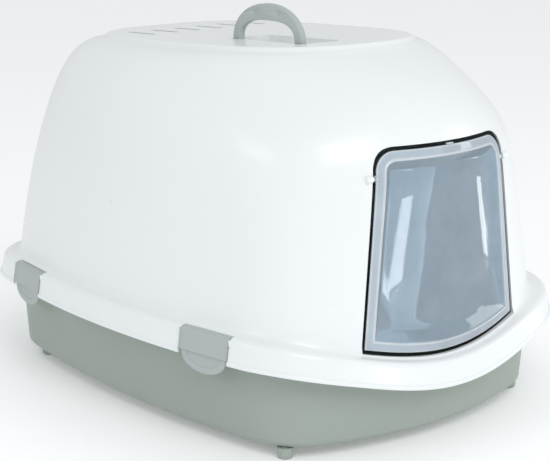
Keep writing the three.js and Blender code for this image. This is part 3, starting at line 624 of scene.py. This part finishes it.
def make_flap():
    grid, rows = flap_grid()
    x, z = grid[..., 0], grid[..., 2]
    top, radius = DOOR_TOP - DOOR_GAP, DOOR_CORNER - DOOR_GAP
    wall = np.vectorize(front_wall_y)(x, z)
    low = z - (np.vectorize(sill_height)(x) + DOOR_GAP)
    side = np.vectorize(door_half_width)(z) - DOOR_GAP - np.abs(x)
    high = top - z
    # the distance to the edge, rounded with the flap's upper corners
    across, up = np.maximum(radius - side, 0), np.maximum(radius - high, 0)
    rim = np.where((side < radius) & (high < radius), radius - np.hypot(across, up), np.minimum(side, high))
    edge = np.minimum(rim, low)
    corner_side = np.where((side < radius) & (high < radius), rim, side)
    corner_top = np.where((side < radius) & (high < radius), rim, high)
    dish = flap_dish(corner_side, corner_top, low)
    ridge = 1.0 * np.exp(-((edge - RIDGE) / 1.1) ** 2)
    lip = 0.5 * np.clip(1 - edge / 0.8, 0, 1) ** 2
    near = wall + 0.4 + dish - ridge + lip
    far = wall + 0.4 + FLAP_THICKNESS + dish - lip
    verts = np.concatenate([np.stack([x, y, z], -1).reshape(-1, 3) for y in (near, far)])
    back = rows * rows
    faces = []
    for j in range(rows - 1):
        for i in range(rows - 1):
            a = j * rows + i
            faces.append((a, a + 1, a + rows + 1, a + rows))
            faces.append((back + a, back + a + rows, back + a + rows + 1, back + a + 1))
    border = [i for i in range(rows)]
    border += [j * rows + rows - 1 for j in range(1, rows)]
    border += [(rows - 1) * rows + i for i in range(rows - 2, -1, -1)]
    border += [j * rows for j in range(rows - 2, 0, -1)]
    for k, a in enumerate(border):
        b = border[(k + 1) % len(border)]
        faces.append((a, a + back, b + back, b))
    flap = new_object("flap_panel", verts, faces)
    edge_x = HINGE_X - DOOR_GAP
    barrels, bores = [], []
    for side_sign in (-1, 1):
        barrels.append(rod("barrel", KNUCKLE_RADIUS - 0.4, (side_sign * (edge_x - 12), HINGE_Y, HINGE_HEIGHT),
                           (side_sign * (edge_x + 1.5), HINGE_Y, HINGE_HEIGHT), nose=0.7))
        bores.append(rod("bore", PIN_RADIUS + 0.3, (side_sign * (edge_x - 10), HINGE_Y, HINGE_HEIGHT),
                         (side_sign * (edge_x + 5), HINGE_Y, HINGE_HEIGHT)))
    boolean(flap, "UNION", barrels)
    boolean(flap, "DIFFERENCE", bores)
    mark_haze_and_painted_highlights(flap)
    return smooth_shade(flap, 50)


def mark_haze_and_painted_highlights(flap):
    """A soft attribute that is 1 on the flap's pressed ridge and its outer edge, and lower on its border. The
    pale lines of 1 on the ridge and the edge are painted highlights.
    """
    values = []
    for vertex in flap.data.vertices:
        x, z = vertex.co.x / MM, vertex.co.z / MM
        side = door_half_width(z) - DOOR_GAP - abs(x)
        edge = min(side, DOOR_TOP - DOOR_GAP - z, z - sill_height(x) - DOOR_GAP)
        if min(side, DOOR_TOP - DOOR_GAP - z) < 20 and z > HINGE_HEIGHT:
            radius = DOOR_CORNER - DOOR_GAP
            across, up = max(radius - side, 0), max(radius - (DOOR_TOP - DOOR_GAP - z), 0)
            edge = min(edge, radius - math.hypot(across, up))
        border = 0.5 * (1 - smooth(edge, RIDGE, RIDGE + 2))
        # painted highlights: pale lines along the pressed ridge and the outer edge
        line = math.exp(-((edge - RIDGE) / 1.3) ** 2) + math.exp(-(edge / 0.9) ** 2)
        values.append(min(border + line, 1))
    flap.data.attributes.new("rim", "FLOAT", "POINT").data.foreach_set("value", values)


def make_flap_pin(side, name):
    edge_x = HINGE_X - DOOR_GAP
    start = (side * (edge_x - 9.6), HINGE_Y, HINGE_HEIGHT)
    end = (side * (HINGE_X + KNUCKLE_LENGTH - 2), HINGE_Y, HINGE_HEIGHT)
    return smooth_shade(rod(name, PIN_RADIUS, start, end, nose=0.5), 40)


def make_nub():
    z = DOOR_TOP - DOOR_GAP
    y = front_wall_y(0, z)
    nub = block("flap_nub_fine", (-5.5, y - 0.2, z + 0.3), (5.5, y + 2.6, z + 2.6))
    return smooth_shade(rounded(nub, 0.7, 4), 40)


# ------------------------------------------------------------ handle


def super_arch(a, b, power, count):
    points = []
    for angle in np.linspace(0, math.pi, count + 1):
        c, s = math.cos(angle), abs(math.sin(angle))
        points.append((a * math.copysign(abs(c) ** (2 / power), c), b * s ** (2 / power)))
    return points


def make_handle():
    foot = HANDLE_THICKNESS / 2
    pivot = -HANDLE_PIVOT_DEPTH
    span = HANDLE_HALF_SPAN
    inner = super_arch(span - LEG_WIDTH, HANDLE_RISE - GRIP, 2.7, 48)[::-1]
    outline = [(span, pivot)] + super_arch(span, HANDLE_RISE - 0.15, 2.05, 64) + [(-span, pivot)]
    outline += [(-span + 1.5, pivot - foot + 0.8), (-span + LEG_WIDTH, pivot - foot + 0.8)]
    outline += inner
    outline += [(span - LEG_WIDTH, pivot - foot + 0.8), (span - 1.5, pivot - foot + 0.8)]
    half = HANDLE_THICKNESS / 2
    handle = prism("handle_bail", outline, -half, half,
                   lambda u, v, w: (HANDLE_X + w, HANDLE_MIDDLE + u, v))
    dimples = []
    for face in (-1, 1):
        for place in (-23, 23):
            centre = (HANDLE_X + face * (half + 5.2), HANDLE_MIDDLE + place, HANDLE_RISE - GRIP / 2 - 0.5)
            profile = [(6.4 * math.sin(a), -6.4 * math.cos(a)) for a in np.linspace(0.12, math.pi - 0.12, 24)]
            dimples.append(lathe("dimple", profile, centre, 40))
    boolean(handle, "DIFFERENCE", dimples)
    rounded(handle, 2.2, 5, 42)
    moved(handle, platform_matrix())
    boolean(handle, "DIFFERENCE", handle_hinge("bore", HANDLE_PIN_RADIUS + 0.3, 4, -8))
    return smooth_shade(handle, 36)


# ------------------------------------------------------------ odour filter

FILTER_HALF_WIDTH, FILTER_HALF_LENGTH, FILTER_THICKNESS = 108, 40, 6


def make_filter_holder():
    centre = SLOT_Y - PLATFORM_MIDDLE
    top, wall, clearance = -WALL - 0.4, 2, 0.6
    floor = -WALL - 0.8 - FILTER_THICKNESS - clearance
    x, y = FILTER_HALF_WIDTH + clearance, FILTER_HALF_LENGTH + clearance
    holder = block("filter_frame", (-x - wall, centre - y - wall, floor - wall),
                   (x + wall, centre + y + wall, top))
    cutters = [block("cavity", (-x, centre - y, floor), (x, centre + y, top + 5))]
    boolean(holder, "DIFFERENCE", cutters)
    windows = []
    for k in range(SLOT_COUNT):
        u = (k - (SLOT_COUNT - 1) / 2) * SLOT_PITCH
        windows.append(block("window", (u - 11, centre - 30, floor - wall - 3),
                             (u + 11, centre + 30, floor + 3)))
    boolean(holder, "DIFFERENCE", windows)
    rounded(holder, 0.5, 2, 50)
    return smooth_shade(moved(holder, platform_matrix()), 40)


def make_filter_mat():
    """A foam block with a lumpy surface, a little inside the solid it stands for."""
    centre, top = SLOT_Y - PLATFORM_MIDDLE, -WALL - 0.8
    mat = block("charcoal_mat", (-FILTER_HALF_WIDTH, centre - FILTER_HALF_LENGTH, top - FILTER_THICKNESS),
                (FILTER_HALF_WIDTH, centre + FILTER_HALF_LENGTH, top))
    rounded(mat, 1.2, 3)
    return smooth_shade(moved(mat, platform_matrix()), 50)


# ------------------------------------------------------------ clips

TAB_DROP = 24
STEP_Z = SKIRT_BOTTOM + 6
SKIRT_LEAN = 4.5


def clip_section(raised=0.0):
    def face(v):
        return -SKIRT_LEAN * (v - SKIRT_BOTTOM) / (FLANGE_TOP - 6 - SKIRT_BOTTOM) + raised

    u, v = -CLIP_PIVOT_INSET, CLIP_PIVOT_Z
    top = v + CLIP_BARREL + raised * 0.0
    points = [(u, top), (-8.6, top - 0.2), (-7.2, top - 1.0), (-6.0 + raised, top - 2.6),
              (face(FLANGE_TOP - 7) - 0.3, FLANGE_TOP - 5), (face(FLANGE_TOP - 9), FLANGE_TOP - 9),
              (face(STEP_Z), STEP_Z), (face(STEP_Z) - 2.5, STEP_Z),
              (face(STEP_Z) - 2.5, STEP_Z + 3), (face(FLANGE_TOP - 14) - 2.4, FLANGE_TOP - 14),
              (u + 2.2, v - CLIP_BARREL), (-19, v - 4), (-19, v - 1.9), (u - 3.7, v - 1.9)]
    for k in range(11):
        a = math.pi + 0.47 + (math.pi / 2 - math.pi - 0.47) * (k + 1) / 12
        points.append((u + CLIP_BARREL * math.cos(a), v + CLIP_BARREL * math.sin(a)))
    return points


def tab_outline(half, top, drop, count=40):
    points = [(half, top)]
    for angle in np.linspace(0, math.pi, count + 1):
        points.append((half * math.cos(angle), STEP_Z + 0.5 - drop * math.sin(angle) ** 0.8))
    return points + [(-half, top)]


def make_clip(name, side, y):
    half = CLIP_WIDTH / 2
    place = clip_place(side, y)

    def along(u, v, w):
        return (u, w, v)

    def facing(u, v, w):
        return (w, u, v)

    body = prism(name, clip_section(), -half, half, along)
    rounded(body, 0.55, 3, 30)
    ribs = []
    for low, high in ((-half, -half + 2.4), (half - 2.4, half)):
        rib = prism("rib", clip_section(0.7)[1:7] + [(-3.6, STEP_Z + 0.2), (-8, FLANGE_TOP - 8)],
                    low, high, along)
        ribs.append(rounded(rib, 0.3, 2, 30))
    tab = prism("tab", tab_outline(half - 3, STEP_Z + 4, TAB_DROP + 0.5), -5.4, -2.9, facing)
    hollow = prism("hollow", tab_outline(half - 11, STEP_Z - 1.2, TAB_DROP - 7.5)[1:-1],
                   -3.7, 0, facing)
    boolean(tab, "DIFFERENCE", [hollow])
    rounded(tab, 0.6, 3, 40)
    boolean(body, "UNION", [tab])
    for rib in ribs:
        boolean(body, "UNION", [rib])
    bore = rod("bore", CLIP_PIN_RADIUS + 0.3, (-CLIP_PIVOT_INSET, -half - 1, CLIP_PIVOT_Z),
               (-CLIP_PIVOT_INSET, half + 1, CLIP_PIVOT_Z))
    boolean(body, "DIFFERENCE", [bore])
    return smooth_shade(moved(body, place), 38)


def make_clip_pin(name, side, y):
    reach = CLIP_WIDTH / 2 + 1 + CHEEK - 1.2
    pin = rod(name, CLIP_PIN_RADIUS, (-CLIP_PIVOT_INSET, -reach, CLIP_PIVOT_Z),
              (-CLIP_PIVOT_INSET, reach, CLIP_PIVOT_Z), nose=0.4)
    return smooth_shade(moved(pin, clip_place(side, y)), 40)


# ------------------------------------------------------------ materials


class Nodes:
    """A new material with short calls for its nodes and links."""

    def __init__(self, name):
        self.material = bpy.data.materials.new(name)
        self.material.use_nodes = True
        self.tree = self.material.node_tree
        self.tree.nodes.clear()
        self.out = self.add("ShaderNodeOutputMaterial")

    def add(self, kind, **settings):
        node = self.tree.nodes.new(kind)
        for key, value in settings.items():
            setattr(node, key, value)
        return node

    def link(self, a, b):
        self.tree.links.new(a, b)

    def noise(self, scale, detail=3.0, roughness=0.5, stretch=None):
        where = self.add("ShaderNodeTexCoord").outputs["Object"]
        if stretch:
            mapping = self.add("ShaderNodeMapping")
            mapping.inputs["Scale"].default_value = stretch
            self.link(where, mapping.inputs["Vector"])
            where = mapping.outputs["Vector"]
        texture = self.add("ShaderNodeTexNoise")
        texture.inputs["Scale"].default_value = scale
        texture.inputs["Detail"].default_value = detail
        texture.inputs["Roughness"].default_value = roughness
        self.link(where, texture.inputs["Vector"])
        return texture.outputs["Fac"]

    def cells(self, scale):
        texture = self.add("ShaderNodeTexVoronoi")
        texture.inputs["Scale"].default_value = scale
        self.link(self.add("ShaderNodeTexCoord").outputs["Object"], texture.inputs["Vector"])
        return texture.outputs["Distance"]

    def spread(self, value, low, high, from_low=0.0, from_high=1.0):
        node = self.add("ShaderNodeMapRange")
        node.inputs["From Min"].default_value = from_low
        node.inputs["From Max"].default_value = from_high
        node.inputs["To Min"].default_value = low
        node.inputs["To Max"].default_value = high
        self.link(value, node.inputs["Value"])
        return node.outputs["Result"]

    def mix(self, factor, a, b):
        node = self.add("ShaderNodeMix", data_type="RGBA")
        self.link(factor, node.inputs["Factor"])
        node.inputs["A"].default_value = (*a, 1)
        node.inputs["B"].default_value = (*b, 1)
        return node.outputs["Result"]

    def bump(self, height, distance, strength, under=None):
        node = self.add("ShaderNodeBump")
        node.inputs["Distance"].default_value = distance
        node.inputs["Strength"].default_value = strength
        self.link(height, node.inputs["Height"])
        if under:
            self.link(under, node.inputs["Normal"])
        return node.outputs["Normal"]

    def edge_round(self, radius):
        node = self.add("ShaderNodeBevel", samples=6)
        node.inputs["Radius"].default_value = radius
        return node.outputs["Normal"]


def moulded(name, light, dark, rough, grain, grain_depth, wave_depth, coat=0.0,
             edge_radius=0.0007):
    """Moulded plastic: cloudy colour, a fine grain and faint waves from the mould."""
    m = Nodes(name)
    shader = m.add("ShaderNodeBsdfPrincipled")
    cloud = m.noise(7, 2, 0.4, (1, 1, 1.6))
    m.link(m.mix(m.spread(cloud, 0, 1, 0.1, 0.9), dark, light), shader.inputs["Base Color"])
    smudge = m.noise(24, 2, 0.4)
    m.link(m.spread(smudge, rough[0], rough[1], 0.1, 0.9), shader.inputs["Roughness"])
    shader.inputs["IOR"].default_value = 1.47
    shader.inputs["Coat Weight"].default_value = coat
    shader.inputs["Coat Roughness"].default_value = 0.12
    edge = m.edge_round(edge_radius) if edge_radius else None
    waves = m.bump(m.noise(22, 2, 0.4), 0.001, wave_depth, edge)
    m.link(m.bump(m.noise(grain, 2, 0.6), 0.0002, grain_depth, waves), shader.inputs["Normal"])
    m.link(shader.outputs["BSDF"], m.out.inputs["Surface"])
    return m.material


def clear_plastic(name, tint, body, edge, haze, rough):
    """Thin plastic with a tint and a haze; the attribute "rim" is 1 where it is paler and less clear, which
    on the flap paints highlights along its ridge and outer edge.

    body and edge are the haze's colours, haze its share at the body and at the edge.
    """
    m = Nodes(name)
    rim = m.add("ShaderNodeAttribute", attribute_name="rim").outputs["Fac"]
    through = m.add("ShaderNodeBsdfTransparent")
    cloud = m.noise(9, 3, 0.5)
    deeper = tuple(c * 0.97 for c in tint)
    m.link(m.mix(m.spread(cloud, 0, 1, 0.3, 0.7), deeper, tint), through.inputs["Color"])
    # the paler rim colour is a painted highlight on the flap's ridge and outer edge, and the paler haze of
    # its border
    milk = m.mix(rim, body, edge)
    back = m.add("ShaderNodeBsdfTranslucent")
    face = m.add("ShaderNodeBsdfDiffuse")
    m.link(milk, back.inputs["Color"])
    m.link(milk, face.inputs["Color"])
    both = m.add("ShaderNodeMixShader")
    both.inputs["Fac"].default_value = 0.8
    m.link(back.outputs["BSDF"], both.inputs[1])
    m.link(face.outputs["BSDF"], both.inputs[2])
    share = m.add("ShaderNodeMath", operation="MULTIPLY")
    m.link(m.spread(rim, haze[0], haze[1]), share.inputs[0])
    m.link(m.spread(m.noise(30, 4, 0.6), 0.92, 1.04, 0.3, 0.7), share.inputs[1])
    veil = m.add("ShaderNodeMixShader")
    m.link(share.outputs["Value"], veil.inputs["Fac"])
    m.link(through.outputs["BSDF"], veil.inputs[1])
    m.link(both.outputs["Shader"], veil.inputs[2])
    gloss = m.add("ShaderNodeBsdfGlossy")
    m.link(m.spread(m.noise(55, 4, 0.6), rough * 0.7, rough * 1.4, 0.3, 0.7), gloss.inputs["Roughness"])
    normal = m.bump(m.noise(26, 2, 0.4), 0.001, 0.1)
    m.link(normal, gloss.inputs["Normal"])
    fresnel = m.add("ShaderNodeFresnel")
    fresnel.inputs["IOR"].default_value = 1.5
    m.link(normal, fresnel.inputs["Normal"])
    surface = m.add("ShaderNodeMixShader")
    m.link(fresnel.outputs["Fac"], surface.inputs["Fac"])
    m.link(veil.outputs["Shader"], surface.inputs[1])
    m.link(gloss.outputs["BSDF"], surface.inputs[2])
    m.link(surface.outputs["Shader"], m.out.inputs["Surface"])
    return m.material


def charcoal_foam():
    m = Nodes("charcoal foam")
    shader = m.add("ShaderNodeBsdfPrincipled")
    cells = m.cells(420)
    m.link(m.mix(m.spread(cells, 0, 1, 0.1, 0.6), (0.006, 0.0065, 0.007), (0.03, 0.032, 0.034)),
           shader.inputs["Base Color"])
    m.link(m.spread(m.noise(120, 3), 0.8, 1.0), shader.inputs["Roughness"])
    m.link(m.bump(cells, 0.0012, 0.9), shader.inputs["Normal"])
    m.link(shader.outputs["BSDF"], m.out.inputs["Surface"])
    return m.material


WHITE = moulded("white plastic", (0.80, 0.825, 0.83), (0.785, 0.81, 0.816), (0.26, 0.34), 900, 0.05, 0.03,
                coat=0.25, edge_radius=0)
SAGE = moulded("sage plastic", (0.345, 0.392, 0.352), (0.318, 0.365, 0.326), (0.44, 0.56), 1500, 0.5, 0.1)
SAGE_PALE = moulded("pale sage plastic", (0.42, 0.465, 0.455), (0.39, 0.435, 0.425), (0.4, 0.5),
                    1500, 0.4, 0.1)
PIN = moulded("pin plastic", (0.83, 0.85, 0.85), (0.78, 0.8, 0.8), (0.25, 0.35), 900, 0.1, 0.06)
# the paler edge colour paints highlights on the flap's pressed ridge and outer edge
SMOKE = clear_plastic("smoke plastic", (0.82, 0.9, 0.96), (0.66, 0.83, 0.97), (0.86, 0.9, 0.94),
                      (0.42, 0.78), 0.03)
CLEAR = clear_plastic("clear plastic", (0.88, 0.91, 0.93), (0.8, 0.83, 0.86), (0.8, 0.83, 0.86),
                      (0.7, 0.7), 0.15)
FOAM = charcoal_foam()

# ------------------------------------------------------------ pieces


def place_piece(obj, name, body, node, material):
    obj.name = name
    obj.data.name = name
    obj.data.materials.clear()
    obj.data.materials.append(material)
    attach(obj, body)
    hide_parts(node)
    return obj


place_piece(make_hood(), "hood_cover", "box", "hood", WHITE)
place_piece(make_tray(), "tray_pan", "box", "tray", SAGE)
for label, x, y in FEET:
    foot = make_foot("foot", x, y)
    place_piece(foot, f"foot_peg_{label}", "box", f"foot_{label}", SAGE)
place_piece(make_flap(), "flap_panel", "flap", "flap", SMOKE)
for label, side in (("left", -1), ("right", 1)):
    pin = make_flap_pin(side, "pin")
    place_piece(pin, f"flap_hinge_pin_{label}", "flap", f"flap_pin_{label}", CLEAR)
place_piece(make_nub(), "flap_catch_nub", "flap", "flap_nub", CLEAR)
place_piece(make_handle(), "handle_bail", "handle", "handle", SAGE_PALE)
for label, pin in zip(("front", "rear"), handle_hinge("pin", HANDLE_PIN_RADIUS, 9, -7.5, 0.5)):
    smooth_shade(pin, 40)
    place_piece(pin, f"handle_hinge_pin_{label}", "box", f"handle_pin_{label}", PIN)
place_piece(make_filter_mat(), "charcoal_mat", "box", "filter_mat", FOAM)
place_piece(make_filter_holder(), "filter_frame", "box", "filter_holder", WHITE)
for label, side, y in CLIPS:
    clip = make_clip("clip", side, y)
    place_piece(clip, f"side_clip_{label}", f"clip_{label}", f"clip_{label}", SAGE_PALE)
    pin = make_clip_pin("pin", side, y)
    place_piece(pin, f"clip_hinge_pin_{label}", "box", f"clip_pin_{label}", PIN)

# ------------------------------------------------------------ floor, light and camera


def make_floor():
    floor = block("floor", (-9000, -9000, -20), (9000, 9000, -0.2))
    m = Nodes("pale floor")
    shader = m.add("ShaderNodeBsdfPrincipled")
    m.link(m.mix(m.noise(3, 3), (0.9, 0.905, 0.91), (0.92, 0.922, 0.925)), shader.inputs["Base Color"])
    shader.inputs["Roughness"].default_value = 0.9
    shader.inputs["Emission Color"].default_value = (1, 1, 1, 1)
    shader.inputs["Emission Strength"].default_value = 0.16
    m.link(shader.outputs["BSDF"], m.out.inputs["Surface"])
    floor.data.materials.append(m.material)
    return floor


def area_light(name, place, target, size, power, colour=(1, 1, 1)):
    data = bpy.data.lights.new(name, "AREA")
    data.shape = "RECTANGLE"
    data.size, data.size_y = size
    data.energy = power
    data.color = colour
    light = bpy.data.objects.new(name, data)
    light.location = place
    light.rotation_euler = (Vector(target) - Vector(place)).to_track_quat("-Z", "Y").to_euler()
    bpy.context.scene.collection.objects.link(light)
    return light


def make_world():
    """White behind the object, a little dimmer as the light that falls on it."""
    world = bpy.data.worlds.new("studio")
    bpy.context.scene.world = world
    world.use_nodes = True
    tree = world.node_tree
    background = tree.nodes["Background"]
    background.inputs["Color"].default_value = (0.965, 0.985, 1, 1)
    path = tree.nodes.new("ShaderNodeLightPath")
    strength = tree.nodes.new("ShaderNodeMapRange")
    strength.inputs["To Min"].default_value = 0.74
    strength.inputs["To Max"].default_value = 1.04
    tree.links.new(path.outputs["Is Camera Ray"], strength.inputs["Value"])
    tree.links.new(strength.outputs["Result"], background.inputs["Strength"])


AZIMUTH, ELEVATION, DISTANCE = math.radians(40.16), math.radians(13.81), 2.120
FOCUS = Vector((-0.0341, -0.0475, 0.2116))
FOCAL_PIXELS, IMAGE_WIDTH = 1612.4, 550


def make_camera():
    back = Vector((-math.sin(AZIMUTH) * math.cos(ELEVATION), -math.cos(AZIMUTH) * math.cos(ELEVATION),
                   math.sin(ELEVATION)))
    data = bpy.data.cameras.new("camera")
    data.sensor_width = 36
    data.lens = FOCAL_PIXELS * data.sensor_width / IMAGE_WIDTH
    data.clip_end = 50
    camera = bpy.data.objects.new("camera", data)
    camera.location = FOCUS + back * DISTANCE
    camera.rotation_euler = back.to_track_quat("Z", "Y").to_euler()
    bpy.context.scene.collection.objects.link(camera)
    bpy.context.scene.camera = camera


make_floor()
make_world()
area_light("key", (-1.1, -2.6, 2.5), (0, 0, 0.2), (2.0, 1.5), 38)
area_light("left", (-2.9, 0.5, 1.7), (0, 0.1, 0.3), (1.3, 0.6), 5)
area_light("right", (2.6, -1.8, 1.1), (0, -0.3, 0.25), (0.5, 1.3), 9)
# two small cards near the floor, whose reflections are the streaks down the flap's sides
CARD_HEIGHT = 0.165
CARD_POWER = 20                # watts per square metre of card
for label, place, width in (("card left", (0.24, -1.11, 0.088), 0.1),
                            ("card right", (0.96, -0.6, 0.088), 0.06)):
    card = area_light(label, place, (0, -0.32, 0.26), (width, CARD_HEIGHT),
                      CARD_POWER * width * CARD_HEIGHT)
    card.visible_camera = False
make_camera()
bpy.context.scene.view_settings.view_transform = "Standard"
bpy.context.scene.view_settings.look = "None"
